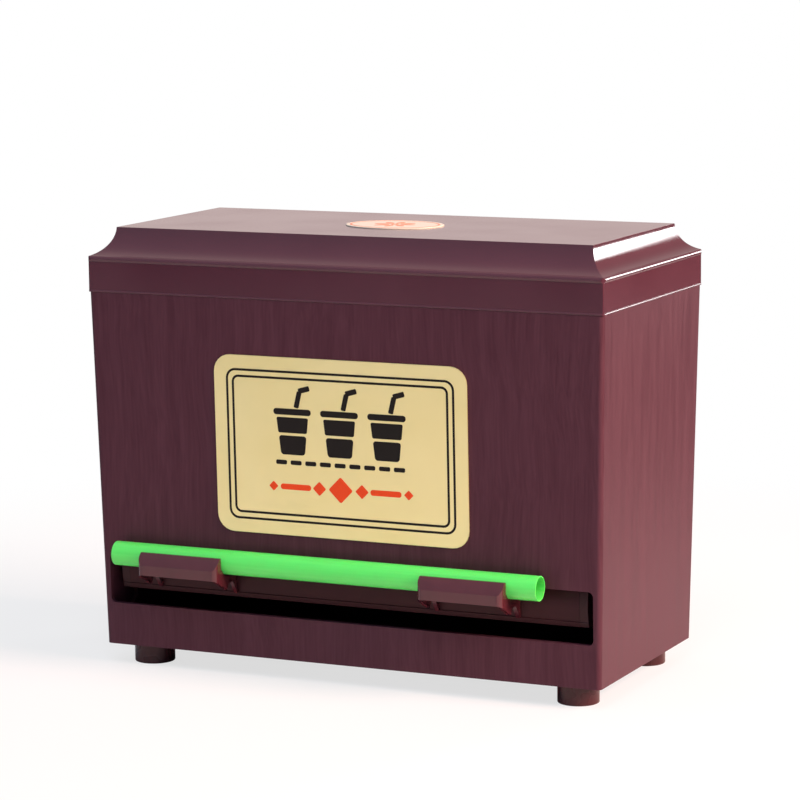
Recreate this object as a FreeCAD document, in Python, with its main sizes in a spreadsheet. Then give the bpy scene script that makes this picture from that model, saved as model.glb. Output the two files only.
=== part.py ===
"""A counter-top straw dispenser: a drafted case with a lift-off lid, and a rocker that is pressed
down at two hooks to roll out one straw. Millimetres, +Z up, front towards -Y. The origin is on the
table, under the middle of the whole object's outline."""
import FreeCAD, Part
import math
import os
import Sketcher
from FreeCAD import Placement, Rotation, Vector

doc = FreeCAD.newDocument("straw_dispenser")

# Driving dimensions, each written once
SIZES = [
    ("case_width_top", 249.2, "case, outside, at the seam under the lid"),
    ("case_width_base", 243.0, "case, outside, at its floor"),
    ("case_depth_top", 121.4, "case, outside, at the seam"),
    ("case_depth_base", 113.0, "case, outside, at its floor"),
    ("case_height", 162.8, "case, floor to seam"),
    ("case_corner", 2.2, "radius of the upright corners"),
    ("wall", 2.8, "case wall and floor"),
    ("lip_height", 6.0, "inner lip that centres the lid"),
    ("lid_overhang", 0.5, "lid outside past the case"),
    ("lid_wall", 1.5, "lid skirt"),
    ("lid_play", 0.3, "lid skirt to the case's lip"),
    ("lid_top_wall", 2.4, "lid top and cove"),
    ("skirt_height", 16.4, "seam to rim"),
    ("cove_height", 12.2, "rim to top"),
    ("cove_inset_side", 9.4, "left and right"),
    ("cove_inset_front", 11.4, "front and back"),
    ("cove_sag", 2.2, "how far the cove bows inwards"),
    ("bead_height", 2.6, "rounded bead under the cove"),
    ("bead_reach", 0.5, "bead past the skirt"),
    ("foot_height", 9.8, "gap under the case"),
    ("foot_diameter", 18.5, ""),
    ("foot_hole_depth", 4.0, "counterbore for the screw head"),
    ("foot_inset", 12.0, "feet's middles inside the cheeks' outer faces"),
    ("foot_margin", 15.5, "feet's middles behind the case's front and back edges"),
    ("screw_diameter", 3.0, "foot screws"),
    ("screw_head", 6.0, "head diameter of the foot screws"),
    ("screw_head_height", 2.2, ""),
    ("screw_play", 0.15, "round a screw's shank"),
    ("screw_head_play", 1.0, "round a foot screw's head"),
    ("screw_end_gap", 1.0, "foot screw's end to the top of its boss"),
    ("slot_margin", 3.37, "front slot's ends to the case's sides"),
    ("slot_height", 23.6, "front slot"),
    ("slot_bottom", 19.4, "slot's lower edge above the case's underside"),
    ("slot_corner", 2.4, ""),
    ("plate_width", 123.0, "name plate"),
    ("plate_height", 80.2, "name plate"),
    ("plate_middle", 97.7, "its middle above the case's underside"),
    ("plate_corner", 8.0, ""),
    ("plate_thickness", 0.7, ""),
    ("label_width", 46.0, "oval label on the lid"),
    ("label_depth", 36.0, ""),
    ("label_thickness", 0.4, ""),
    ("drum_radius", 25.0, "rocker: lip of the bar from the axle"),
    ("drum_play", 0.6, "between the front wall and the lip"),
    ("bar_skin", 2.0, "wall of the rocker"),
    ("bar_step", 0.4, "bar face behind its lip"),
    ("bar_top_gap", 0.5, "slot's upper edge to the bar"),
    ("bar_bottom", 26.1, "lip's lower edge above the case's underside"),
    ("lip_face", 2.2, "height of the lip"),
    ("bar_top_angle", 15.6, "bar's upper edge above the axle, degrees"),
    ("shelf_length", 10.8, "floor of the notch"),
    ("shelf_slope", 18.0, "it falls to the back, degrees"),
    ("notch_depth", 12.0, "back wall of the notch, one straw"),
    ("rear_end", 235.0, "where the rear skin ends, degrees round the axle from the front"),
    ("press_angle", 26.0, "travel of the rocker, degrees"),
    ("cap_thickness", 4.0, "end caps of the rocker"),
    ("hub_radius", 5.0, "inside the end caps"),
    ("hub_length", 6.0, ""),
    ("pin_diameter", 6.0, "axle pins"),
    ("pin_inside", 9.0, "pin length inside the rocker's end"),
    ("running_play", 0.05, "pin in its bush, on the radius"),
    ("seat_play", 0.02, "pressed and glued seats, on the radius"),
    ("cheek_thickness", 2.0, "side cheeks"),
    ("cheek_play", 0.6, "rocker's end to cheek"),
    ("cheek_flange", 22.0, "flange on the floor"),
    ("cheek_side_play", 1.55, "cheek's outer face to the narrowest part of the case"),
    ("cheek_margin", 1.2, "cheek's ends to the case"),
    ("cheek_nose", 5.0, "height of the cheek's front end"),
    ("cheek_front", 14.0, "cheek's front edge behind its front end"),
    ("cheek_rise", 6.0, "cheek above the ramp"),
    ("boss_height", 7.0, "screw boss on the flange"),
    ("boss_diameter", 9.0, ""),
    ("bush_diameter", 10.0, ""),
    ("bush_flange", 13.0, ""),
    ("bush_flange_thickness", 0.8, ""),
    ("weight_diameter", 8.0, "counterweight rod"),
    ("weight_arm", 9.6, "rod behind the axle"),
    ("weight_seat", 1.6, "depth of its seats in the caps"),
    ("weight_end_play", 0.1, "rod's ends to the seats"),
    ("ramp_thickness", 2.0, "hopper ramp"),
    ("ramp_slope", 28.0, "degrees"),
    ("ramp_round", 0.9, "upper front edge of the ramp"),
    ("ramp_play", 0.8, "over the rocker's rear skin"),
    ("ramp_start", 3.0, "front edge behind the axle"),
    ("tab_length", 14.0, "tabs of the ramp in the cheeks"),
    ("tab_play", 0.2, ""),
    ("tab_front", 16.0, "first tab from the ramp's front edge"),
    ("tab_back", 62.0, "second tab from the ramp's front edge"),
    ("straw_diameter", 11.0, ""),
    ("straw_wall", 0.5, ""),
    ("straw_length", 208.0, ""),
    ("straw_play", 0.3, "straw to hook and wall"),
    ("straw_height", 44.1, "straw's axis above the case's underside"),
    ("straw_middle_x", -7.4, "middle of the straw, sideways"),
    ("hooks_middle_x", -6.1, "middle between the hooks, sideways"),
    ("hook_spacing", 138.0, "between the hooks' middles"),
    ("hook_width", 40.2, ""),
    ("hook_web", 1.2, "cradle under the straw"),
    ("hook_root", 1.0, "hooks run into the bar before they are cut to its face"),
    ("cradle_angle", 30.0, "cradle's edges under the straw's axis, degrees"),
    ("pad_thickness", 5.0, ""),
    ("pad_top", 46.8, "above the case's underside"),
    ("pad_slope", 5.2, "height of the thumb face on the pad's upper front"),
    ("pad_bulge", 0.35, "how far the thumb face swells"),
    ("pad_land", 0.9, "level strip along the pad's top"),
    ("pad_end_round", 2.6, "upright front edges of the pad"),
    ("pad_play", 0.4, "straw to the back of the pad"),
    ("rib_thickness", 1.8, "end ribs"),
    ("rib_drop", 5.7, "ribs' lowest points under the pad"),
    ("rib_setback", 10.6, "ribs' lowest points behind the pad's front"),
    ("rib_foot", 28.1, "where the ribs meet the bar, above the case's underside"),
    ("rib_play", 0.8, "ribs to the slot's lower edge when the rocker is pressed"),
    ("hook_screw_diameter", 2.4, ""),
    ("hook_screw_head", 4.6, ""),
    ("hook_screw_head_height", 1.6, ""),
    ("hook_screw_length", 6.0, ""),
    ("hook_screw_height", 36.9, "above the case's underside"),
    ("hook_boss_diameter", 4.8, "bosses of the hooks"),
    ("hook_boss_length", 5.8, "bosses in front of the bar"),
    ("hook_boss_end", 1.0, "closed end of the bosses' holes"),
]

sheet = doc.addObject("Spreadsheet::Sheet", "Sizes")
for row, (alias, value, note) in enumerate(SIZES, 1):
    sheet.set(f"A{row}", note or alias.replace("_", " "))
    sheet.set(f"B{row}", str(value))
    sheet.setAlias(f"B{row}", alias)
doc.recompute()


def size(alias):
    """A driving dimension from the sheet."""
    return float(sheet.get(alias))


wall = size("wall")
foot_height = size("foot_height")
seam = foot_height + size("case_height")
rim = seam + size("skirt_height")
lid_top = rim + size("cove_height")


def up(alias):
    """Height above the table of a size that is measured from the case's underside."""
    return foot_height + size(alias)


def half_depth(height):
    """Middle of the case to its outer front or back face, at a height."""
    part = (height - foot_height) / size("case_height")
    growth = size("case_depth_top") - size("case_depth_base")
    return (size("case_depth_base") + growth * part) / 2


def half_width(height):
    """Middle of the case to its outer side face, at a height."""
    part = (height - foot_height) / size("case_height")
    growth = size("case_width_top") - size("case_width_base")
    return (size("case_width_base") + growth * part) / 2


wall_lean = math.degrees(math.atan2(half_depth(seam) - half_depth(foot_height), size("case_height")))

# The rocker's axle
slot_top = up("slot_bottom") + size("slot_height")
bar_top = slot_top - size("bar_top_gap")
face_radius = size("drum_radius") - size("bar_step")
axle_z = bar_top - face_radius * math.sin(math.radians(size("bar_top_angle")))
axle_y = -(half_depth(axle_z) - wall - size("drum_play") - size("drum_radius"))

# Across: the cheeks stand inside the case's narrowest part, and the rocker between them
narrowest = min(half_width(foot_height + wall), half_width(seam)) - wall
cheek_outer = narrowest - size("cheek_side_play")
cheek_inner = cheek_outer - size("cheek_thickness")
bar_half = cheek_inner - size("cheek_play")
foot_x = cheek_outer - size("foot_inset")
foot_y = half_depth(foot_height) - size("foot_margin")

# The straw in the hooks
straw_radius = size("straw_diameter") / 2
straw_z = up("straw_height")
straw_y = -(half_depth(straw_z) + size("straw_play") + straw_radius)
pad_back = straw_y - straw_radius - size("pad_play")
pad_front = pad_back - size("pad_thickness")
left_hook_x = size("hooks_middle_x") - size("hook_spacing") / 2
right_hook_x = size("hooks_middle_x") + size("hook_spacing") / 2

# The case's middle stands behind the origin, because the hooks reach out in front
back_reach = half_depth(seam) + size("lid_overhang")
case_y = (-pad_front - back_reach) / 2
SHIFT = Vector(0, case_y, 0)

# Edges this close to a plane lie on it
NEAR = 0.01

subparts = []


def keep(thing, label):
    """Gives a sub-part its name and puts it on the list of those written out."""
    thing.Label = label
    subparts.append(thing)
    return thing


def solid_part(shape, label, place=None):
    """A sub-part whose shape is worked out here from the sheet's sizes."""
    thing = doc.addObject("Part::Feature", label)
    thing.Shape = shape
    thing.Placement = (place or Placement(SHIFT, Rotation())).multiply(shape.Placement)
    return keep(thing, label)


def plane(body, role):
    """One of a body's own origin planes."""
    return [item for item in body.Origin.OriginFeatures if item.Role == role][0]


def sketch_on(body, role, name, offset=None):
    """A sketch on one of a body's origin planes, moved along it by an offset."""
    sketch = body.newObject("Sketcher::SketchObject", name)
    sketch.AttachmentSupport = [(plane(body, role), "")]
    sketch.MapMode = "FlatFace"
    if offset:
        sketch.AttachmentOffset = offset
    return sketch


def rounded_rectangle(sketch, width, height, radius):
    """A rectangle with round corners about the sketch's origin, bound to three expressions.
    The numbers it is drawn with are only a start: the expressions set its real size."""
    half_w = 20.0
    half_h = 15.0
    corner = 3.0
    corners = [(1, 1), (-1, 1), (-1, -1), (1, -1)]
    centres = [Vector(sx * (half_w - corner), sy * (half_h - corner), 0) for sx, sy in corners]
    for index, centre in enumerate(centres):
        circle = Part.Circle(centre, Vector(0, 0, 1), corner)
        start = index * math.pi / 2
        sketch.addGeometry(Part.ArcOfCircle(circle, start, start + math.pi / 2), False)
    for index in range(4):
        here = sketch.Geometry[index].EndPoint
        there = sketch.Geometry[(index + 1) % 4].StartPoint
        sketch.addGeometry(Part.LineSegment(here, there), False)
    rule = Sketcher.Constraint
    for index in range(4):
        sketch.addConstraint(rule("Tangent", index, 2, 4 + index, 1))
        sketch.addConstraint(rule("Tangent", 4 + index, 2, (index + 1) % 4, 1))
    for index in range(1, 4):
        sketch.addConstraint(rule("Equal", 0, index))
    for index in (4, 6):
        sketch.addConstraint(rule("Horizontal", index))
    for index in (5, 7):
        sketch.addConstraint(rule("Vertical", index))
    sketch.addConstraint(rule("Symmetric", 0, 3, 2, 3, -1, 1))
    for kind, first, second, value, expression in (
        ("DistanceX", 5, 7, 2 * half_w, width),
        ("DistanceY", 6, 4, 2 * half_h, height),
    ):
        number = sketch.addConstraint(rule(kind, first, 1, second, 1, value))
        sketch.setExpression(f"Constraints[{number}]", expression)
    number = sketch.addConstraint(rule("Radius", 0, corner))
    sketch.setExpression(f"Constraints[{number}]", radius)


def at_height(height):
    """An offset straight up from a body's XY plane."""
    return Placement(Vector(0, 0, height), Rotation())


def outline_at(side, level):
    """Expression for the case's outer width or depth at a level above its underside."""
    base = f"Sizes.case_{side}_base"
    return f"({base} + (Sizes.case_{side}_top - {base}) * {level} / Sizes.case_height)"


def case_shell():
    """The drafted case: a loft with its hollow, the lid's lip, the front slot and screw holes."""
    body = doc.addObject("PartDesign::Body", "case_shell")
    lip_top = size("case_height") + size("lip_height")
    sections = (
        ("foot_outline", 0.0, "Sizes.case_width_base", "Sizes.case_depth_base"),
        ("seam_outline", size("case_height"), "Sizes.case_width_top", "Sizes.case_depth_top"),
    )
    outlines = []
    for name, height, width, depth in sections:
        outline = sketch_on(body, "XY_Plane", name, at_height(height))
        rounded_rectangle(outline, width, depth, "Sizes.case_corner")
        outlines.append(outline)
    shell = body.newObject("PartDesign::AdditiveLoft", "drafted_block")
    shell.Profile = outlines[0]
    shell.Sections = [outlines[1]]
    shell.Ruled = True
    doc.recompute()

    lip_outline = sketch_on(body, "XY_Plane", "lip_outline", at_height(size("case_height")))
    lip_inset = "2 * (Sizes.bead_reach + Sizes.lid_wall + Sizes.lid_play - Sizes.lid_overhang)"
    rounded_rectangle(
        lip_outline,
        f"Sizes.case_width_top - {lip_inset}",
        f"Sizes.case_depth_top - {lip_inset}",
        "Sizes.case_corner",
    )
    lip = body.newObject("PartDesign::Pad", "lid_lip")
    lip.Profile = lip_outline
    lip.setExpression("Length", "Sizes.lip_height")
    doc.recompute()

    hollows = []
    inner = (
        ("floor_hollow", wall, "Sizes.wall"),
        ("mouth_hollow", lip_top, "(Sizes.case_height + Sizes.lip_height)"),
    )
    for name, height, level in inner:
        width = outline_at("width", level)
        depth = outline_at("depth", level)
        outline = sketch_on(body, "XY_Plane", name, at_height(height))
        rounded_rectangle(
            outline,
            f"{width} - 2 * Sizes.wall",
            f"{depth} - 2 * Sizes.wall",
            "Sizes.case_corner / 2",
        )
        hollows.append(outline)
    hollow = body.newObject("PartDesign::SubtractiveLoft", "hollow")
    hollow.Profile = hollows[0]
    hollow.Sections = [hollows[1]]
    hollow.Ruled = True
    doc.recompute()

    slot_middle = size("slot_bottom") + size("slot_height") / 2
    slot_outline = sketch_on(
        body, "XZ_Plane", "slot_outline", Placement(Vector(0, slot_middle, 0), Rotation())
    )
    low_width = outline_at("width", "Sizes.slot_bottom")
    high_width = outline_at("width", "(Sizes.slot_bottom + Sizes.slot_height)")
    rounded_rectangle(
        slot_outline,
        f"min({low_width}; {high_width}) - 2 * Sizes.slot_margin",
        "Sizes.slot_height",
        "Sizes.slot_corner",
    )
    slot = body.newObject("PartDesign::Pocket", "front_slot")
    slot.Profile = slot_outline
    slot.setExpression("Length", "Sizes.case_depth_top")
    slot.Reversed = True
    doc.recompute()

    holes_outline = sketch_on(body, "XY_Plane", "screw_holes")
    hole_radius = size("screw_diameter") / 2 + size("screw_play")
    for sx in (-1, 1):
        for sy in (-1, 1):
            centre = Vector(sx * foot_x, sy * foot_y, 0)
            holes_outline.addGeometry(Part.Circle(centre, Vector(0, 0, 1), hole_radius), False)
    holes = body.newObject("PartDesign::Pocket", "floor_holes")
    holes.Profile = holes_outline
    holes.setExpression("Length", "Sizes.wall * 2")
    holes.Reversed = True
    doc.recompute()
    body.Placement = Placement(SHIFT + Vector(0, 0, foot_height), Rotation())
    return keep(body, "case_shell")


def prism(points_or_edges, direction):
    """A straight prism from a closed outline, given as points or as edges in order."""
    if isinstance(points_or_edges[0], Vector):
        wire = Part.makePolygon(points_or_edges + [points_or_edges[0]])
    else:
        wire = Part.Wire(Part.__sortEdges__(points_or_edges))
    return Part.Face(wire).extrude(direction)


def cove_profile(half, inset, turn):
    """Half outline of the lid's skirt, bead and cove, mirrored into a closed section.
    turn places a point given as (distance from the middle, height)."""
    skirt = half - size("bead_reach")
    bead_low = rim - size("bead_height")
    bead_middle = rim - size("bead_height") / 2
    top_half = half - inset
    cove_foot = half - size("bead_height") / 2
    middle_out = (cove_foot + top_half) / 2
    middle_up = (rim + lid_top) / 2
    run = cove_foot - top_half
    length = math.hypot(run, size("cove_height"))
    bow = (
        middle_out - size("cove_sag") * size("cove_height") / length,
        middle_up - size("cove_sag") * run / length,
    )
    edges = []
    for side in (1, -1):
        def spot(out, height):
            return turn(side * out, height)
        edges.append(Part.LineSegment(spot(skirt, seam), spot(skirt, bead_low)).toShape())
        bead = Part.Arc(spot(skirt, bead_low), spot(half, bead_middle), spot(cove_foot, rim))
        edges.append(bead.toShape())
        cove = Part.Arc(spot(cove_foot, rim), spot(*bow), spot(top_half, lid_top))
        edges.append(cove.toShape())
    edges.append(Part.LineSegment(turn(top_half, lid_top), turn(-top_half, lid_top)).toShape())
    edges.append(Part.LineSegment(turn(skirt, seam), turn(-skirt, seam)).toShape())
    return edges


def lid():
    """Two coved prisms crossed, so that the cove meets itself in mitred corners, then hollowed."""
    half_x = size("case_width_top") / 2 + size("lid_overhang")
    half_y = size("case_depth_top") / 2 + size("lid_overhang")
    along_x = prism(
        cove_profile(half_y, size("cove_inset_front"), lambda out, height: Vector(-half_x, out, height)),
        Vector(2 * half_x, 0, 0),
    )
    along_y = prism(
        cove_profile(half_x, size("cove_inset_side"), lambda out, height: Vector(out, -half_y, height)),
        Vector(0, 2 * half_y, 0),
    )
    block = Part.makeBox(
        2 * half_x, 2 * half_y, lid_top - seam, Vector(-half_x, -half_y, seam)
    )
    upright = [edge for edge in block.Edges if abs(edge.tangentAt(edge.FirstParameter).z) > 0.99]
    block = block.makeFillet(size("case_corner"), upright)
    shape = along_x.common(along_y).common(block)
    skirt_x = half_x - size("bead_reach") - size("lid_wall")
    skirt_y = half_y - size("bead_reach") - size("lid_wall")
    shoulder = rim - size("lid_top_wall")
    lower = Part.makeBox(2 * skirt_x, 2 * skirt_y, shoulder - seam, Vector(-skirt_x, -skirt_y, seam))
    upper_x = half_x - size("cove_inset_side") - size("lid_top_wall")
    upper_y = half_y - size("cove_inset_front") - size("lid_top_wall")
    ceiling = lid_top - size("lid_top_wall")
    upper = Part.makeBox(
        2 * upper_x, 2 * upper_y, ceiling - seam, Vector(-upper_x, -upper_y, seam)
    )
    return solid_part(shape.cut(lower.fuse(upper)), "lid")


def lid_label():
    """The thin oval label in the middle of the lid's top."""
    ellipse = Part.Ellipse(Vector(0, 0, 0), size("label_width") / 2, size("label_depth") / 2)
    face = Part.Face(Part.Wire(ellipse.toShape()))
    shape = face.extrude(Vector(0, 0, size("label_thickness")))
    return solid_part(shape, "lid_label", Placement(SHIFT + Vector(0, 0, lid_top), Rotation()))


def front_plate():
    """The plate on the leaning front wall."""
    body = doc.addObject("PartDesign::Body", "front_plate")
    outline = sketch_on(body, "XZ_Plane", "plate_outline")
    rounded_rectangle(outline, "Sizes.plate_width", "Sizes.plate_height", "Sizes.plate_corner")
    pad = body.newObject("PartDesign::Pad", "plate_sheet")
    pad.Profile = outline
    pad.setExpression("Length", "Sizes.plate_thickness")
    doc.recompute()
    middle = up("plate_middle")
    spot = SHIFT + Vector(0, -half_depth(middle), middle)
    body.Placement = Placement(spot, Rotation(Vector(1, 0, 0), wall_lean))
    return keep(body, "front_plate")


def foot(label, sx, sy):
    """A turned foot with a counterbore for its screw, bound to the sheet."""
    column = doc.addObject("Part::Cylinder", label + "_column")
    column.setExpression("Radius", "Sizes.foot_diameter / 2")
    column.setExpression("Height", "Sizes.foot_height")
    recess = doc.addObject("Part::Cylinder", label + "_recess")
    recess.setExpression("Radius", "Sizes.screw_head / 2 + Sizes.screw_head_play")
    recess.setExpression("Height", "Sizes.foot_hole_depth")
    bore = doc.addObject("Part::Cylinder", label + "_bore")
    bore.setExpression("Radius", "Sizes.screw_diameter / 2 + Sizes.screw_play")
    bore.setExpression("Height", "Sizes.foot_height")
    holes = doc.addObject("Part::Fuse", label + "_holes")
    holes.Base = recess
    holes.Tool = bore
    piece = doc.addObject("Part::Cut", label)
    piece.Base = column
    piece.Tool = holes
    spot = Vector(sx * foot_x, sy * foot_y, 0)
    piece.Placement = Placement(SHIFT + spot, Rotation())
    return keep(piece, label)


# A screw's cross recess and rounding, as shares of its head's height and width and its shank
CROSS_DEPTH = 0.5
CROSS_REACH = 0.5
CROSS_WIDTH = 0.2
HEAD_ROUND = 0.4


def screw(head_diameter, head_height, diameter, length):
    """A pan-head screw pointing up, its head's underside at the origin."""
    head = Part.makeCylinder(head_diameter / 2, head_height, Vector(0, 0, -head_height))
    edges = [edge for edge in head.Edges if edge.BoundBox.ZMax < -head_height / 2]
    shape = head.makeFillet(head_height * HEAD_ROUND, edges)
    shape = shape.fuse(Part.makeCylinder(diameter / 2, length))
    reach = head_diameter * CROSS_REACH
    width = diameter * CROSS_WIDTH
    for long, short in ((reach, width), (width, reach)):
        corner = Vector(-long / 2, -short / 2, -head_height)
        shape = shape.cut(Part.makeBox(long, short, head_height * CROSS_DEPTH, corner))
    return shape.removeSplitter()


def foot_screws():
    """Four screws up through the feet and the floor into the cheeks' bosses."""
    boss_top = foot_height + wall + size("boss_height")
    reach = boss_top - size("foot_hole_depth") - size("screw_end_gap")
    shapes = []
    for sx in (-1, 1):
        for sy in (-1, 1):
            piece = screw(
                size("screw_head"), size("screw_head_height"), size("screw_diameter"), reach
            )
            piece.translate(Vector(sx * foot_x, sy * foot_y, size("foot_hole_depth")))
            shapes.append(piece)
    return solid_part(Part.makeCompound(shapes), "foot_screws")


def around_axle(radius, degrees, x=0.0):
    """A point about the rocker's axle: the angle is measured up from the front."""
    angle = math.radians(degrees)
    return Vector(x, -radius * math.cos(angle), radius * math.sin(angle))


def notch_points():
    """Front edge, inner corner and upper back edge of the notch, about the axle."""
    slope = math.radians(size("shelf_slope"))
    front = around_axle(face_radius, size("bar_top_angle"))
    inner = front + Vector(0, math.cos(slope), -math.sin(slope)) * size("shelf_length")
    back = inner + Vector(0, math.sin(slope), math.cos(slope)) * size("notch_depth")
    return front, inner, back


notch_front, notch_inner, notch_back = notch_points()
rear_radius = math.hypot(notch_back.y, notch_back.z)
rear_start = math.degrees(math.atan2(notch_back.z, -notch_back.y))


def lip_angle(height):
    """Angle about the axle at which the lip's arc is at a height above the table."""
    return math.degrees(math.asin((height - axle_z) / size("drum_radius")))


def rocker_outline():
    """Closed section of the rocker about its axle, as edges in order."""
    low = lip_angle(up("bar_bottom"))
    high = lip_angle(up("bar_bottom") + size("lip_face"))
    lip_low = around_axle(size("drum_radius"), low)
    lip_high = around_axle(size("drum_radius"), high)
    face_low = around_axle(face_radius, high)
    face_middle = around_axle(face_radius, (high + size("bar_top_angle")) / 2)
    rear_low = around_axle(rear_radius, size("rear_end"))
    rear_middle = around_axle(rear_radius, (rear_start + size("rear_end")) / 2)
    return [
        Part.LineSegment(notch_front, notch_inner).toShape(),
        Part.LineSegment(notch_inner, notch_back).toShape(),
        Part.Arc(notch_back, rear_middle, rear_low).toShape(),
        Part.LineSegment(rear_low, lip_low).toShape(),
        Part.Arc(lip_low, around_axle(size("drum_radius"), (low + high) / 2), lip_high).toShape(),
        Part.LineSegment(lip_high, face_low).toShape(),
        Part.Arc(face_low, face_middle, notch_front).toShape(),
    ]


cap_inner = bar_half - size("cap_thickness")
AXLE = Vector(0, axle_y, axle_z)


def rocker_bar():
    """The long hollow moulding: bar, notch for one straw and rear skin that holds the pile back."""
    outer = Part.Wire(rocker_outline())
    inner = outer.makeOffset2D(-size("bar_skin"), 2)
    block = Part.Face(outer).extrude(Vector(2 * cap_inner, 0, 0))
    hollow = Part.Face(inner).extrude(Vector(2 * cap_inner, 0, 0))
    shape = block.cut(hollow)
    shape.translate(Vector(-cap_inner, 0, 0))
    for hook_x in (left_hook_x, right_hook_x):
        for screw_x, height in hook_screw_spots(hook_x):
            hole = Part.makeCylinder(
                size("hook_screw_diameter") / 2 + size("screw_play"),
                size("bar_step") + 2 * size("bar_skin"),
                Vector(screw_x, -size("drum_radius"), height - axle_z),
                Vector(0, 1, 0),
            )
            shape = shape.cut(hole)
    shape.translate(AXLE)
    return solid_part(shape, "rocker_bar")


def hook_screw_spots(hook_x):
    """Across and up: two screws for each hook, beside its ribs."""
    height = up("hook_screw_height")
    reach = size("hook_width") / 2 - size("rib_thickness") - size("hook_boss_diameter") / 2
    return [(hook_x - reach, height), (hook_x + reach, height)]


def end_cap(label, side):
    """End of the rocker: the same section, a hub for the axle pin and a seat for the weight."""
    plate = Part.Face(Part.Wire(rocker_outline())).extrude(Vector(size("cap_thickness"), 0, 0))
    hub = Part.makeCylinder(
        size("hub_radius"), size("hub_length"), Vector(-size("hub_length"), 0, 0), Vector(1, 0, 0)
    )
    shape = plate.fuse(hub)
    pin_bore = Part.makeCylinder(
        size("pin_diameter") / 2 + size("seat_play"),
        size("cap_thickness") + size("hub_length"),
        Vector(-size("hub_length"), 0, 0),
        Vector(1, 0, 0),
    )
    seat = Part.makeCylinder(
        size("weight_diameter") / 2 + size("seat_play"),
        size("weight_seat"),
        Vector(0, size("weight_arm"), 0),
        Vector(1, 0, 0),
    )
    shape = shape.cut(pin_bore.fuse(seat))
    if side < 0:
        shape = shape.mirror(Vector(0, 0, 0), Vector(1, 0, 0))
    shape.translate(AXLE + Vector(side * cap_inner, 0, 0))
    return solid_part(shape, label)


def axle_pin(label, side):
    """Axle pin from the cap's hub to the outside of the bush."""
    pin = doc.addObject("Part::Cylinder", label)
    pin.setExpression("Radius", "Sizes.pin_diameter / 2")
    pin.setExpression(
        "Height",
        "Sizes.pin_inside + Sizes.cheek_play + Sizes.cheek_thickness"
        " + Sizes.bush_flange_thickness",
    )
    start = AXLE + Vector(side * (bar_half - size("pin_inside")), 0, 0)
    pin.Placement = Placement(SHIFT + start, Rotation(Vector(0, 1, 0), 90 * side))
    return keep(pin, label)


def bush(label, side):
    """Flanged bush in the cheek."""
    sleeve = Part.makeCylinder(
        size("bush_diameter") / 2,
        size("cheek_thickness"),
        Vector(cheek_inner, 0, 0),
        Vector(1, 0, 0),
    )
    flange = Part.makeCylinder(
        size("bush_flange") / 2,
        size("bush_flange_thickness"),
        Vector(cheek_outer, 0, 0),
        Vector(1, 0, 0),
    )
    bore = Part.makeCylinder(
        size("pin_diameter") / 2 + size("running_play"),
        size("cheek_thickness") + size("bush_flange_thickness"),
        Vector(cheek_inner, 0, 0),
        Vector(1, 0, 0),
    )
    shape = sleeve.fuse(flange).cut(bore)
    if side < 0:
        shape = shape.mirror(Vector(0, 0, 0), Vector(1, 0, 0))
    shape.translate(AXLE)
    return solid_part(shape, label)


def counterweight():
    """Steel rod behind the axle that brings the rocker back up."""
    rod = doc.addObject("Part::Cylinder", "counterweight")
    rod.setExpression("Radius", "Sizes.weight_diameter / 2")
    reach = cap_inner + size("weight_seat") - size("weight_end_play")
    rod.Height = 2 * reach
    spot = AXLE + Vector(-reach, size("weight_arm"), 0)
    rod.Placement = Placement(SHIFT + spot, Rotation(Vector(0, 1, 0), 90))
    return keep(rod, "counterweight")


# The ramp's upper front edge, and its run to the back wall
slope = math.radians(size("ramp_slope"))
RAMP_FOOT = Vector(
    0, axle_y + size("ramp_start"), axle_z + rear_radius + size("ramp_play") + size("ramp_thickness")
)
ramp_span = half_depth(foot_height) - wall - size("cheek_margin") - RAMP_FOOT.y


def ramp_frame():
    """Placement of the ramp: X across, Y up along the slope, Z out of its upper face."""
    return Placement(RAMP_FOOT, Rotation(Vector(1, 0, 0), size("ramp_slope")))


def tab_boxes(play, half, reach):
    """The four tabs, or with play the slots that take them, in the ramp's own frame."""
    boxes = []
    for side in (-1, 1):
        for start in (size("tab_front"), size("tab_back")):
            low = half if side > 0 else -half - reach
            boxes.append(
                Part.makeBox(
                    reach,
                    size("tab_length") + 2 * play,
                    size("ramp_thickness") + 2 * play,
                    Vector(low, start - play, -size("ramp_thickness") - play),
                )
            )
    return boxes


def hopper_ramp():
    """Sloping floor of the hopper, with a turned-down front edge and four tabs."""
    half = cheek_inner - size("tab_play")
    length = ramp_span / math.cos(slope)
    board = Part.makeBox(
        2 * half, length, size("ramp_thickness"), Vector(-half, 0, -size("ramp_thickness"))
    )
    rounding = [
        edge
        for edge in board.Edges
        if edge.BoundBox.YMax < NEAR and edge.BoundBox.ZMin > -NEAR
    ]
    shape = board.makeFillet(size("ramp_round"), rounding)
    for tab in tab_boxes(0.0, half, size("tab_play") + size("cheek_thickness")):
        shape = shape.fuse(tab)
    shape = shape.removeSplitter()
    return solid_part(
        shape, "hopper_ramp", Placement(SHIFT, Rotation()).multiply(ramp_frame())
    )


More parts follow.
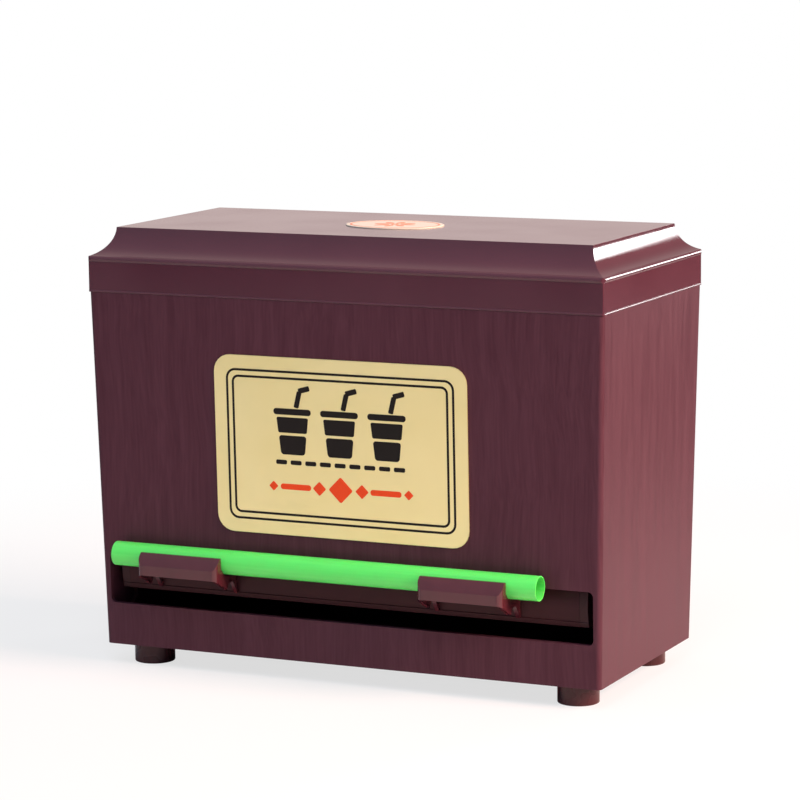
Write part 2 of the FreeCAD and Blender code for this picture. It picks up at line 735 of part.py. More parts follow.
def cheek(label, side):
    """Side cheek on the floor: it carries a bush, two of the ramp's tabs and two screw bosses."""
    floor = foot_height + wall
    front = -(half_depth(foot_height) - wall - size("cheek_margin"))
    back = -front
    rise = size("cheek_rise")
    ramp_back = RAMP_FOOT.z + ramp_span * math.tan(slope)
    outline = [
        Vector(cheek_inner, front, floor),
        Vector(cheek_inner, front, floor + size("cheek_nose")),
        Vector(cheek_inner, front + size("cheek_front"), up("slot_bottom")),
        Vector(cheek_inner, front + size("cheek_front"), RAMP_FOOT.z + rise),
        Vector(cheek_inner, RAMP_FOOT.y, RAMP_FOOT.z + rise),
        Vector(cheek_inner, back, ramp_back + rise),
        Vector(cheek_inner, back, floor),
    ]
    shape = prism(outline, Vector(size("cheek_thickness"), 0, 0))
    flange = Part.makeBox(
        size("cheek_flange"),
        back - front,
        size("cheek_thickness"),
        Vector(cheek_outer - size("cheek_flange"), front, floor),
    )
    shape = shape.fuse(flange)
    for sy in (-1, 1):
        spot = Vector(foot_x, sy * foot_y, floor)
        boss = Part.makeCylinder(size("boss_diameter") / 2, size("boss_height"), spot)
        shape = shape.fuse(boss)
    for sy in (-1, 1):
        spot = Vector(foot_x, sy * foot_y, floor)
        hole = Part.makeCylinder(
            size("screw_diameter") / 2 + size("screw_play"), size("boss_height"), spot
        )
        shape = shape.cut(hole)
    seat = Part.makeCylinder(
        size("bush_diameter") / 2 + size("seat_play"),
        size("cheek_thickness"),
        AXLE + Vector(cheek_inner, 0, 0),
        Vector(1, 0, 0),
    )
    shape = shape.cut(seat)
    for slot in tab_boxes(size("tab_play"), cheek_inner, size("cheek_thickness"))[2:]:
        slot.Placement = ramp_frame().multiply(slot.Placement)
        shape = shape.cut(slot)
    shape = shape.removeSplitter()
    if side < 0:
        shape = shape.mirror(Vector(0, 0, 0), Vector(1, 0, 0))
    return solid_part(shape, label)


def rib_outline(low, tip_foot):
    """Outline of a hook's end rib: down behind the pad to its lowest point, up over the slot's
    lower edge where that passes when the rocker is pressed, and down again along the bar."""
    slot_low = up("slot_bottom")
    outer_edge = Vector(0, -half_depth(slot_low), slot_low) - AXLE
    inner_edge = outer_edge + Vector(0, wall, 0)
    fall = math.degrees(math.atan2(-outer_edge.z, -outer_edge.y)) - size("press_angle")
    margin = math.degrees(size("rib_play") / outer_edge.Length)
    over_outer = AXLE + around_axle(outer_edge.Length + size("rib_play"), margin - fall)
    over_inner = AXLE + around_axle(inner_edge.Length - size("rib_play"), margin - fall)
    into_bar = axle_y - face_radius + size("hook_root")
    return [
        Vector(0, pad_front, low),
        Vector(0, pad_front + size("rib_setback"), low - size("rib_drop")),
        over_outer,
        over_inner,
        Vector(0, axle_y - face_radius, tip_foot),
        Vector(0, into_bar, tip_foot),
        Vector(0, into_bar, low + size("hook_web") / 2),
        Vector(0, pad_front, low + size("hook_web") / 2),
    ]


def hook(label, middle_x):
    """A hook of the rocker: pad with a sloping thumb face, cradle under the straw, two end ribs."""
    half = size("hook_width") / 2
    cradle = straw_radius + size("straw_play")
    bar_face = axle_y - face_radius
    into_bar = bar_face + size("hook_root")
    low = straw_z - cradle - size("hook_web")
    top = up("pad_top")
    crest = Vector(0, pad_back - size("pad_land"), top)
    brow = Vector(0, pad_front, top - size("pad_slope"))
    outward = Vector(0, brow.z - crest.z, crest.y - brow.y).normalize()
    swell = (crest + brow) / 2 + outward * size("pad_bulge")
    edge_angle = math.radians(size("cradle_angle"))
    edge_y = cradle * math.cos(edge_angle)
    edge_z = straw_z - cradle * math.sin(edge_angle)
    corners = [
        brow,
        Vector(0, pad_front, low),
        Vector(0, into_bar, low),
        Vector(0, into_bar, edge_z),
        Vector(0, straw_y + edge_y, edge_z),
    ]
    edges = [Part.LineSegment(a, b).toShape() for a, b in zip(corners, corners[1:])]
    front_edge = Vector(0, straw_y - edge_y, edge_z)
    bottom = Vector(0, straw_y, straw_z - cradle)
    edges.append(Part.Arc(corners[-1], bottom, front_edge).toShape())
    corners = [front_edge, Vector(0, pad_back, edge_z), Vector(0, pad_back, top), crest]
    edges += [Part.LineSegment(a, b).toShape() for a, b in zip(corners, corners[1:])]
    edges.append(Part.Arc(crest, swell, brow).toShape())
    shape = Part.Face(Part.Wire(edges)).extrude(Vector(2 * half, 0, 0))
    rib = prism(rib_outline(low, up("rib_foot")), Vector(size("rib_thickness"), 0, 0))
    shape = shape.fuse(rib)
    shape = shape.fuse(rib.translated(Vector(2 * half - size("rib_thickness"), 0, 0)))
    shape.translate(Vector(-half, 0, 0))
    for screw_x, height in hook_screw_spots(0.0):
        boss = Part.makeCylinder(
            size("hook_boss_diameter") / 2,
            size("hook_boss_length") + size("hook_root"),
            Vector(screw_x, bar_face - size("hook_boss_length"), height),
            Vector(0, 1, 0),
        )
        shape = shape.fuse(boss)
    for screw_x, height in hook_screw_spots(0.0):
        hole = Part.makeCylinder(
            size("hook_screw_diameter") / 2 + size("seat_play"),
            size("hook_boss_length"),
            Vector(screw_x, bar_face - size("hook_boss_length") + size("hook_boss_end"), height),
            Vector(0, 1, 0),
        )
        shape = shape.cut(hole)
    base = min(low - size("rib_drop"), up("rib_foot"))
    plan = Part.makeBox(
        2 * half, into_bar - pad_front, top - base, Vector(-half, pad_front, base)
    )
    upright = [
        edge
        for edge in plan.Edges
        if edge.BoundBox.YMax < pad_front + NEAR and edge.BoundBox.ZLength > top - base - NEAR
    ]
    shape = shape.common(plan.makeFillet(size("pad_end_round"), upright))
    rocker = Part.Face(Part.Wire(rocker_outline())).extrude(Vector(2 * half, 0, 0))
    rocker.translate(AXLE + Vector(-half, 0, 0))
    shape = shape.cut(rocker).removeSplitter()
    shape.translate(Vector(middle_x, 0, 0))
    return solid_part(shape, label)


def hook_screws():
    """Two screws for each hook, from inside the hollow bar."""
    shapes = []
    for hook_x in (left_hook_x, right_hook_x):
        for screw_x, height in hook_screw_spots(hook_x):
            piece = screw(
                size("hook_screw_head"),
                size("hook_screw_head_height"),
                size("hook_screw_diameter"),
                size("hook_screw_length"),
            )
            drop = abs(height - axle_z) + size("hook_screw_head") / 2
            seat = math.sqrt((face_radius - size("bar_skin")) ** 2 - drop ** 2)
            spot = Vector(screw_x, axle_y - seat + size("seat_play"), height)
            piece.Placement = Placement(spot, Rotation(Vector(1, 0, 0), 90))
            shapes.append(piece)
    return solid_part(Part.makeCompound(shapes), "hook_screws")


def served_straw():
    """The straw that lies in the hooks."""
    tube = doc.addObject("Part::Cylinder", "straw_outside")
    tube.setExpression("Radius", "Sizes.straw_diameter / 2")
    tube.setExpression("Height", "Sizes.straw_length")
    bore = doc.addObject("Part::Cylinder", "straw_bore")
    bore.setExpression("Radius", "Sizes.straw_diameter / 2 - Sizes.straw_wall")
    bore.setExpression("Height", "Sizes.straw_length")
    piece = doc.addObject("Part::Cut", "served_straw")
    piece.Base = tube
    piece.Tool = bore
    spot = Vector(size("straw_middle_x") - size("straw_length") / 2, straw_y, straw_z)
    piece.Placement = Placement(SHIFT + spot, Rotation(Vector(0, 1, 0), 90))
    return keep(piece, "served_straw")


case_shell()
lid()
lid_label()
front_plate()
for foot_name, foot_side, foot_row in (
    ("foot_front_left", -1, -1),
    ("foot_front_right", 1, -1),
    ("foot_back_left", -1, 1),
    ("foot_back_right", 1, 1),
):
    foot(foot_name, foot_side, foot_row)
foot_screws()
rocker_bar()
hook("left_hook", left_hook_x)
hook("right_hook", right_hook_x)
hook_screws()
for hand, sign in (("left", -1), ("right", 1)):
    end_cap(f"{hand}_end_cap", sign)
    axle_pin(f"{hand}_axle_pin", sign)
    bush(f"{hand}_bush", sign)
    cheek(f"{hand}_cheek", sign)
counterweight()
hopper_ramp()
served_straw()

doc.recompute()
for item in doc.Objects:
    if "Invalid" in item.State or "Error" in item.State:
        raise RuntimeError(f"{item.Label} did not compute: {item.State}")
os.makedirs("parts", exist_ok=True)
for piece in subparts:
    if piece.Shape.isNull() or not piece.Shape.isValid():
        raise RuntimeError(f"{piece.Label} has no valid shape")
for piece in subparts:
    piece.Shape.exportStep(f"parts/{piece.Label}.step")
    box = piece.Shape.BoundBox
    print(
        f"{piece.Label}: {len(piece.Shape.Solids)} solid, {piece.Shape.Volume:.0f} mm3,"
        f" x {box.XMin:.1f}..{box.XMax:.1f}, y {box.YMin:.1f}..{box.YMax:.1f},"
        f" z {box.ZMin:.1f}..{box.ZMax:.1f}"
    )
print(f"axle y {axle_y + case_y:.3f} z {axle_z:.3f}, rear radius {rear_radius:.2f}, lean {wall_lean:.3f}")
print(f"straw y {straw_y + case_y:.3f} z {straw_z:.2f}, case middle y {case_y:.3f}")
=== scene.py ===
# %% [markdown]
# # A straw dispenser, dressed for its picture
# The frame is the model as it was packed: every node is in metres and already in its place.
# It is loaded first, and its box is measured at once.

# %% Load the frame
import math
import bmesh
import bpy
from mathutils import Matrix, Vector


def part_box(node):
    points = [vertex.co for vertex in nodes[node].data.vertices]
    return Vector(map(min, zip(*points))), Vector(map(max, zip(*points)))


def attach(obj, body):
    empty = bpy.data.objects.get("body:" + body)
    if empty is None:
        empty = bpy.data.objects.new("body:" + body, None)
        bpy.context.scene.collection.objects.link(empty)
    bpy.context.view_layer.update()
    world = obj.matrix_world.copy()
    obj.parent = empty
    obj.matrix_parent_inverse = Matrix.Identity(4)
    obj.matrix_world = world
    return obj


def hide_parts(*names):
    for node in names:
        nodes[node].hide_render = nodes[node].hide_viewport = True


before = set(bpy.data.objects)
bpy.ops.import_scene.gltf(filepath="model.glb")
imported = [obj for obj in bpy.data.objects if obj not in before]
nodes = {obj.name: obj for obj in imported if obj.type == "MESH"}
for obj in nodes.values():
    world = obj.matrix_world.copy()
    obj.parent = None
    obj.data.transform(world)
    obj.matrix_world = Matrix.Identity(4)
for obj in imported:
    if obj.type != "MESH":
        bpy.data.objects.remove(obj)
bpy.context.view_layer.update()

# %% [markdown]
# ## Measures
# Every size below is written in millimetres, because that is how a moulder would give it.
# One name turns it into metres, the unit of the scene.

# %% Units and the size of the case
MM = 0.001
case_low, case_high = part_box("case_shell")
print("case in mm:", [round(size / MM, 1) for size in case_high - case_low])

# %% [markdown]
# ## Camera
# The view was fitted to the corners of the case, the lid and the plate in an 800 by 800 picture.
# A long lens from about a metre and a half away keeps the upright edges nearly parallel.
# The three directions of the camera are written out and joined into one turn.

# %% Camera
picture_side = 800
focal_length_px = 3323.6
sensor_width_mm = 36.0
camera_place = Vector((630.64, -1348.38, 349.45)) * MM
camera_right = Vector((0.90759, 0.41975, -0.00917))
camera_up = Vector((-0.05511, 0.14075, 0.98851))
camera_back = Vector((0.41622, -0.89666, 0.15088))

turn = Matrix((camera_right, camera_up, camera_back)).transposed().to_euler()
bpy.ops.object.camera_add(location=camera_place, rotation=turn)
camera = bpy.context.object
camera.name = "picture_camera"
camera.data.sensor_width = sensor_width_mm
camera.data.lens = focal_length_px * sensor_width_mm / picture_side
bpy.context.scene.camera = camera
bpy.context.scene.view_settings.view_transform = "Standard"
print("lens in mm:", round(camera.data.lens, 1))

# %% [markdown]
# ## Colours
# Colours are picked as sRGB hex, the way a paint chart gives them. Shaders work in linear
# light, so one function undoes the standard sRGB curve.

# %% Colours
def colour(code):
    channels = [int(code[i:i + 2], 16) / 255 for i in (1, 3, 5)]
    linear = [c / 12.92 if c <= 0.04045 else ((c + 0.055) / 1.055) ** 2.4 for c in channels]
    return (*linear, 1.0)


print("middle grey in linear light:", round(colour("#808080")[0], 3))

# %% [markdown]
# ## Nodes
# One small function adds a node, sets what is given and joins what is given. Every material
# below is built with it. A second one starts a new material with its shader.

# %% Helpers for nodes and materials
def add_node(tree, kind, settings=None, links=None):
    node = tree.nodes.new(kind)
    for name, value in (settings or {}).items():
        if isinstance(name, str) and hasattr(node, name):
            setattr(node, name, value)
        else:
            node.inputs[name].default_value = value
    for name, source in (links or {}).items():
        tree.links.new(source, node.inputs[name])
    return node


def new_material(name, settings):
    material = bpy.data.materials.new(name)
    material.use_nodes = True
    tree = material.node_tree
    tree.nodes.clear()
    shader = add_node(tree, "ShaderNodeBsdfPrincipled", settings)
    add_node(tree, "ShaderNodeOutputMaterial", links={"Surface": shader.outputs["BSDF"]})
    return material, tree, shader


print("helpers:", add_node.__name__, new_material.__name__)

# %% [markdown]
# ## Floor
# The picture is taken on a sheet of white paper. The floor is one wide disc, so that its end
# is never seen.

# %% Floor disc
floor_radius = 30.0

bpy.ops.object.select_all(action="DESELECT")
bpy.ops.mesh.primitive_circle_add(vertices=96, radius=floor_radius, fill_type="NGON")
floor = bpy.context.object
floor.name = "floor"
print("floor:", floor_radius * 2, "m across")

# %% [markdown]
# For gloss and for light the paper ends about half a metre from the object, and the dim floor
# of the studio begins. That keeps the front deep brown, and leaves a pale sheen only low
# on the side. The paper is a diffuse surface whose shade falls off with distance.

# %% Lit paper
paper_middle = (-0.5, -0.3, 0.0)
paper_radius = 0.8
paper_end = 1.3

paper = bpy.data.materials.new("matt_white_paper")
paper.use_nodes = True
tree = paper.node_tree
tree.nodes.clear()
place = add_node(tree, "ShaderNodeTexCoord")
away = add_node(tree, "ShaderNodeVectorMath", {"operation": "DISTANCE", 1: paper_middle},
                {0: place.outputs["Object"]})
on_paper = add_node(tree, "ShaderNodeMapRange", {
    "interpolation_type": "SMOOTHSTEP", "From Min": paper_radius, "From Max": paper_end,
    "To Min": 1.0, "To Max": 0.0}, {"Value": away.outputs["Value"]})
shade = add_node(tree, "ShaderNodeMix", {
    "data_type": "RGBA", 6: colour("#4A4A4C"), 7: colour("#E4E4E4")}, {0: on_paper.outputs[0]})
lit = add_node(tree, "ShaderNodeBsdfDiffuse", links={"Color": shade.outputs[2]})
floor.data.materials.append(paper)
print(paper.name, paper_radius * 2, "m wide")

# %% [markdown]
# The camera sees plain white further out. Near the object it sees the lit paper for a part,
# so that the feet still throw a soft shadow.

# %% White for the camera
shadow_start = 0.2
shadow_reach = 0.55
lit_share = 0.3

path = add_node(tree, "ShaderNodeLightPath")
far = add_node(tree, "ShaderNodeVectorMath", {"operation": "LENGTH"}, {0: place.outputs["Object"]})
near = add_node(tree, "ShaderNodeMapRange", {
    "interpolation_type": "SMOOTHSTEP", "From Min": shadow_start, "From Max": shadow_reach,
    "To Min": 1.0, "To Max": 0.0}, {"Value": far.outputs["Value"]})
bare = add_node(tree, "ShaderNodeEmission", {"Color": colour("#FFFFFF"), "Strength": 1.0})
seen = add_node(tree, "ShaderNodeMath", {"operation": "MAXIMUM"},
                {0: path.outputs["Is Camera Ray"], 1: path.outputs["Is Transmission Ray"]})
part = add_node(tree, "ShaderNodeMath", {"operation": "MULTIPLY_ADD", 1: -lit_share, 2: 1.0},
                {0: near.outputs[0]})
share = add_node(tree, "ShaderNodeMath", {"operation": "MULTIPLY"},
                 {0: seen.outputs[0], 1: part.outputs[0]})
mixed = add_node(tree, "ShaderNodeMixShader", links={
    0: share.outputs[0], 1: lit.outputs[0], 2: bare.outputs[0]})
add_node(tree, "ShaderNodeOutputMaterial", links={"Surface": mixed.outputs[0]})
print("shadow fades out at", shadow_reach, "m")

# %% [markdown]
# ## Room
# For light and for gloss the room is bright on the object's left and behind it, where the
# paper hangs, and dim in front and on the right. The top of the lid is seen at a low angle,
# so it mirrors the bright part and turns pale.

# %% Brightness of the room
room_bright = 0.88
room_dim = 0.24
front_share = 0.78

world = bpy.data.worlds.new("white_studio")
bpy.context.scene.world = world
world.use_nodes = True
tree = world.node_tree
tree.nodes.clear()
place = add_node(tree, "ShaderNodeTexCoord")
leftward = add_node(tree, "ShaderNodeVectorMath", {
    "operation": "DOT_PRODUCT", 1: (-1.0, 0.0, 0.0)}, {0: place.outputs["Generated"]})
backward = add_node(tree, "ShaderNodeVectorMath", {
    "operation": "DOT_PRODUCT", 1: (0.0, 1.0, 0.0)}, {0: place.outputs["Generated"]})
across = add_node(tree, "ShaderNodeMapRange", {
    "interpolation_type": "SMOOTHSTEP", "From Min": -0.15, "From Max": 0.4,
    "To Min": room_dim, "To Max": room_bright}, {"Value": leftward.outputs["Value"]})
depth = add_node(tree, "ShaderNodeMapRange", {
    "interpolation_type": "SMOOTHSTEP", "From Min": -0.1, "From Max": 0.5,
    "To Min": front_share, "To Max": 1.0}, {"Value": backward.outputs["Value"]})
strength = add_node(tree, "ShaderNodeMath", {"operation": "MULTIPLY"},
                    {0: across.outputs[0], 1: depth.outputs[0]})
print("room:", room_dim, "to", room_bright)

# %% [markdown]
# The light from in front is a little cool, as from a window, and from behind a little warm.
# The camera itself sees white.

# %% Tone of the room
path = add_node(tree, "ShaderNodeLightPath")
warmth = add_node(tree, "ShaderNodeMapRange", {"From Min": -0.2, "From Max": 0.6},
                  {"Value": backward.outputs["Value"]})
tone = add_node(tree, "ShaderNodeMix", {
    "data_type": "RGBA", 6: colour("#DCEAFF"), 7: colour("#FFEAE6")}, {0: warmth.outputs[0]})
plain = add_node(tree, "ShaderNodeMix", {"data_type": "RGBA", 7: colour("#FFFFFF")}, {
    0: path.outputs["Is Camera Ray"], 6: tone.outputs[2]})
seen = add_node(tree, "ShaderNodeMath", {"operation": "MAXIMUM"},
                {0: path.outputs["Is Camera Ray"], 1: strength.outputs[0]})
sky = add_node(tree, "ShaderNodeBackground", links={
    "Color": plain.outputs[2], "Strength": seen.outputs[0]})
add_node(tree, "ShaderNodeOutputWorld", links={"Surface": sky.outputs[0]})
print(world.name, "with", len(tree.nodes), "nodes")

# %% [markdown]
# ## Lamps
# A large soft lamp high on the right lights the end of the case and the lid strongly, as in the
# picture. A weaker one steeply in front fills the front and lays the straw's shadow on the bar.
# A small one behind on the right is mirrored in the lid's hollow edge.

# %% Lamps
def soft_lamp(name, place, aim, size, watts, tone="#FFFFFF"):
    bpy.ops.object.light_add(type="AREA", location=place)
    lamp = bpy.context.object
    lamp.name = name
    lamp.data.shape = "SQUARE"
    lamp.data.size = size
    lamp.data.energy = watts
    lamp.rotation_euler = (Vector(aim) - Vector(place)).to_track_quat("-Z", "Y").to_euler()
    lamp.data.color = colour(tone)[:3]
    print(name, watts, "W")
    return lamp


soft_lamp("lamp_right", place=(1.75, -0.2, 0.95), aim=(0.1, 0, 0.1), size=0.9, watts=98,
          tone="#FFD2BE")
soft_lamp("lamp_front", place=(0.35, -1.25, 1.75), aim=(0, 0, 0.1), size=0.9, watts=14.5,
          tone="#E4F0FF")
strip = soft_lamp("lamp_behind", place=(0.72, 1.35, 0.4), aim=(0.12, 0, 0.19), size=0.3,
                  watts=6.5)
strip.data.shape = "RECTANGLE"
strip.data.size_y = 0.45

# %% [markdown]
# ## Grained ABS of the case
# The case is moulded in dark brown ABS against a tool with a fine upright wood grain. The
# grain is shallow: it shows as faint lighter and darker streaks and breaks up the gloss.
# Noise that is stretched along the height gives such streaks. Two sizes are used, narrow
# pores about a millimetre apart and broader bands about four, and a wide, slow wander
# bends them a little, as wood does.

# %% Pattern of the grain
pore_spacing_mm = 1.1
band_spacing_mm = 4.2
wander_spacing_mm = 71.43
wander_mm = 12
stretch = 0.045

case_plastic, tree, shader = new_material("grained_ABS_moulding", {
    "IOR": 1.53, "Specular IOR Level": 0.11})
place = add_node(tree, "ShaderNodeTexCoord")
wander = add_node(tree, "ShaderNodeTexNoise", {
    "Scale": 1 / (wander_spacing_mm * MM), "Detail": 2.0}, {"Vector": place.outputs["Object"]})
bend = add_node(tree, "ShaderNodeVectorMath", {"operation": "SCALE", "Scale": wander_mm * MM},
                {0: wander.outputs["Color"]})
bent = add_node(tree, "ShaderNodeVectorMath", {"operation": "ADD"},
                {0: place.outputs["Object"], 1: bend.outputs[0]})
upright = add_node(tree, "ShaderNodeMapping", {"Scale": (1.0, 1.0, stretch)},
                   {"Vector": bent.outputs[0]})
pores = add_node(tree, "ShaderNodeTexNoise", {
    "Scale": 1 / (pore_spacing_mm * MM), "Detail": 2.0}, {"Vector": upright.outputs[0]})
bands = add_node(tree, "ShaderNodeTexNoise", {
    "Scale": 1 / (band_spacing_mm * MM), "Detail": 3.0}, {"Vector": upright.outputs[0]})
grain = add_node(tree, "ShaderNodeMix", {"data_type": "FLOAT", 0: 0.5}, {
    2: pores.outputs["Fac"], 3: bands.outputs["Fac"]})
print(case_plastic.name, "grain", pore_spacing_mm, "and", band_spacing_mm, "mm")

# %% [markdown]
# The grain then does three things at once: it tints the plastic, changes its gloss and
# gives it a very low relief. To the eye that is a soft, broken sheen with thin streaks.

# %% Tint, gloss and relief of the grain
grain_depth_mm = 0.05

tint = add_node(tree, "ShaderNodeValToRGB", links={"Fac": grain.outputs[0]})
for element, position, code in zip(tint.color_ramp.elements, (0.36, 0.64),
                                   ("#43242F", "#4D2D38")):
    element.position = position
    element.color = colour(code)
tree.links.new(tint.outputs["Color"], shader.inputs["Base Color"])
sheen = add_node(tree, "ShaderNodeMapRange", {
    "From Min": 0.35, "From Max": 0.65, "To Min": 0.39, "To Max": 0.47},
    {"Value": grain.outputs[0]})
tree.links.new(sheen.outputs[0], shader.inputs["Roughness"])
relief = add_node(tree, "ShaderNodeBump", {"Strength": 0.22, "Distance": grain_depth_mm * MM},
                  {"Height": grain.outputs[0]})
tree.links.new(relief.outputs["Normal"], shader.inputs["Normal"])
print("grain depth:", grain_depth_mm, "mm")

# %% [markdown]
# ## Polished ABS
# The lid, hooks and feet are the same brown ABS, moulded against a polished tool. It is smooth
# enough for long thin highlights. A very low, wide ripple stands for the sink of a thin
# moulding. The bar and the parts inside are the same ABS with a duller, satin face. Their
# darker brown is painted shade for the shaded slot. The bushes are undyed acetal. One recipe makes
# them all.

# %% Recipe for polished plastic
sink_depth_mm = 0.02
sink_relief = 0.03
gloss_change = 0.03


def polished_plastic(name, codes, roughness, ripple_mm, mirror=0.5):
    material, tree, shader = new_material(name, {
        "IOR": 1.53, "Specular IOR Level": mirror})
    place = add_node(tree, "ShaderNodeTexCoord")
    ripple = add_node(tree, "ShaderNodeTexNoise", {"Scale": 1 / (ripple_mm * MM), "Detail": 1.0},
                      {"Vector": place.outputs["Object"]})
    tint = add_node(tree, "ShaderNodeMix", {
        "data_type": "RGBA", 6: colour(codes[0]), 7: colour(codes[1])},
        {0: ripple.outputs["Fac"]})
    tree.links.new(tint.outputs[2], shader.inputs["Base Color"])
    gloss = add_node(tree, "ShaderNodeMapRange", {
        "From Min": 0.3, "From Max": 0.7, "To Min": roughness - gloss_change,
        "To Max": roughness + gloss_change}, {"Value": ripple.outputs["Fac"]})
    tree.links.new(gloss.outputs[0], shader.inputs["Roughness"])
    relief = add_node(tree, "ShaderNodeBump", {
        "Strength": sink_relief, "Distance": sink_depth_mm * MM},
        {"Height": ripple.outputs["Fac"]})
    tree.links.new(relief.outputs["Normal"], shader.inputs["Normal"])
    print(name, codes, roughness)
    return material


# %% Finishes of the plastic pieces
# Polished: clear, long highlights on the cove and skirt.
lid_plastic = polished_plastic("polished_ABS_lid", ("#45232F", "#4D2A36"), 0.14, 40, 0.4)
# Polished and rubbed by fingers: softer highlights along the edges.
hook_plastic = polished_plastic("polished_ABS_hooks", ("#401820", "#4A1E27"), 0.2, 8, 0.5)
# Small round mouldings: one soft stripe of light down the side.
foot_plastic = polished_plastic("polished_ABS_feet", ("#35151B", "#3D1A20"), 0.28, 8, 0.3)
# Satin, with a darker brown that is painted shade: the bar and the inside stay dark behind the
# straw.
bar_plastic_painted_shade = polished_plastic("satin_ABS_lever_painted_shade", ("#2C1116", "#34161C"), 0.5, 12, 0.15)
inside_plastic_painted_shade = polished_plastic("satin_ABS_inside_painted_shade", ("#2A1115", "#30151A"), 0.5, 20, 0.2)
# Undyed: a milky white ring round each pin.
bush_plastic = polished_plastic("natural_acetal_bush", ("#E6E2D8", "#EEEAE2"), 0.35, 4)

# %% [markdown]
# ## Gold plate
# A thin aluminium plate, sand-blasted and anodised pale gold. It is a metal, so its colour
# comes from what it mirrors, spread wide by the blasted face. Real grit leaves pits of a
# few hundredths of a millimetre, and they are drawn at half a millimetre, so that they show.
# A slow cloud in the colour stands for the uneven dye.

# %% Gold plate
grit_mm = 0.5
pit_depth_mm = 0.01
dye_cloud_mm = 33.333

gold_plate, tree, shader = new_material("blasted_gold_anodised_aluminium", {
    "Metallic": 1.0, "Roughness": 0.5})
place = add_node(tree, "ShaderNodeTexCoord")
grit = add_node(tree, "ShaderNodeTexNoise", {"Scale": 1 / (grit_mm * MM), "Detail": 3.0},
                {"Vector": place.outputs["Object"]})
cloud = add_node(tree, "ShaderNodeTexNoise", {"Scale": 1 / (dye_cloud_mm * MM), "Detail": 2.0},
                 {"Vector": place.outputs["Object"]})
tint = add_node(tree, "ShaderNodeMix", {
    "data_type": "RGBA", 6: colour("#EAE2A0"), 7: colour("#F4EFB8")},
    {0: cloud.outputs["Fac"]})
tree.links.new(tint.outputs[2], shader.inputs["Base Color"])
relief = add_node(tree, "ShaderNodeBump", {"Strength": 0.3, "Distance": pit_depth_mm * MM},
                  {"Height": grit.outputs["Fac"]})
tree.links.new(relief.outputs["Normal"], shader.inputs["Normal"])
print(gold_plate.name, "grit", grit_mm, "mm")

# %% [markdown]
# ## Green straw
# An extruded polypropylene tube, coloured through. Some light passes the wall, so it looks
# bright even in shade. Fine lines from the die run along it. They are drawn about a
# millimetre apart, coarser than real ones, so that they show.

# %% Green polypropylene
die_line_mm = 0.9
die_line_depth_mm = 0.02
light_reach_m = 0.003

straw_plastic, tree, shader = new_material("green_polypropylene_tube", {
    "Roughness": 0.35, "IOR": 1.49, "Subsurface Weight": 0.25,
    "Subsurface Scale": light_reach_m})
place = add_node(tree, "ShaderNodeTexCoord")
along = add_node(tree, "ShaderNodeMapping", {"Scale": (0.02, 1.0, 1.0)},
                 {"Vector": place.outputs["Object"]})
die_lines = add_node(tree, "ShaderNodeTexNoise", {
    "Scale": 1 / (die_line_mm * MM), "Detail": 1.0}, {"Vector": along.outputs[0]})
tint = add_node(tree, "ShaderNodeMix", {
    "data_type": "RGBA", 6: colour("#4EDC5C"), 7: colour("#5EE66C")},
    {0: die_lines.outputs["Fac"]})
tree.links.new(tint.outputs[2], shader.inputs["Base Color"])
relief = add_node(tree, "ShaderNodeBump", {
    "Strength": 0.1, "Distance": die_line_depth_mm * MM}, {"Height": die_lines.outputs["Fac"]})
tree.links.new(relief.outputs["Normal"], shader.inputs["Normal"])
print(straw_plastic.name, "die lines", die_line_mm, "mm")

# %% [markdown]
# ## Steel and paper
# The screws, pins and the weight are zinc-plated steel: a cool, even glint, with a faint
# bloom in the plating a millimetre or two wide.

# %% Plated steel
bloom_mm = 1.5

plated_steel, tree, shader = new_material("zinc_plated_steel", {
    "Metallic": 1.0, "Roughness": 0.3})
place = add_node(tree, "ShaderNodeTexCoord")
bloom = add_node(tree, "ShaderNodeTexNoise", {"Scale": 1 / (bloom_mm * MM), "Detail": 3.0},
                 {"Vector": place.outputs["Object"]})
tint = add_node(tree, "ShaderNodeMix", {
    "data_type": "RGBA", 6: colour("#B4B6B8"), 7: colour("#CCCED0")},
    {0: bloom.outputs["Fac"]})
tree.links.new(tint.outputs[2], shader.inputs["Base Color"])
print(plated_steel.name, "bloom", bloom_mm, "mm")

# %% [markdown]
# The oval label is coated paper: a cream colour with a soft, low gloss. Its fibres are drawn
# coarser than real, so that they show.

# %% Coated paper
fibre_mm = 0.6

label_paper, tree, shader = new_material("coated_label_paper", {
    "Roughness": 0.4, "IOR": 1.5})
place = add_node(tree, "ShaderNodeTexCoord")
fibre = add_node(tree, "ShaderNodeTexNoise", {"Scale": 1 / (fibre_mm * MM), "Detail": 3.0},
                 {"Vector": place.outputs["Object"]})
tint = add_node(tree, "ShaderNodeMix", {
    "data_type": "RGBA", 6: colour("#D4CEBA"), 7: colour("#DAD6C8")},
    {0: fibre.outputs["Fac"]})
tree.links.new(tint.outputs[2], shader.inputs["Base Color"])
print(label_paper.name, "fibres", fibre_mm, "mm")

# %% [markdown]
# ## Tools for modelling
# Operators act on whatever is selected, so each step first picks one piece, and then the
# faces or edges it needs by their place. These two helpers do that picking.

# %% Helpers for picking
def take(piece):
    bpy.ops.object.select_all(action="DESELECT")
    piece.select_set(True)
    bpy.context.view_layer.objects.active = piece


def pick(piece, kind, test):
    bpy.ops.mesh.select_all(action="DESELECT")
    bpy.ops.mesh.select_mode(type=kind)
    mesh = bmesh.from_edit_mesh(piece.data)
    elements = {"FACE": mesh.faces, "EDGE": mesh.edges, "VERT": mesh.verts}[kind]
    for element in elements:
        if test(element):
            element.select_set(True)
    bmesh.update_edit_mesh(piece.data)


print("helpers:", take.__name__, pick.__name__)

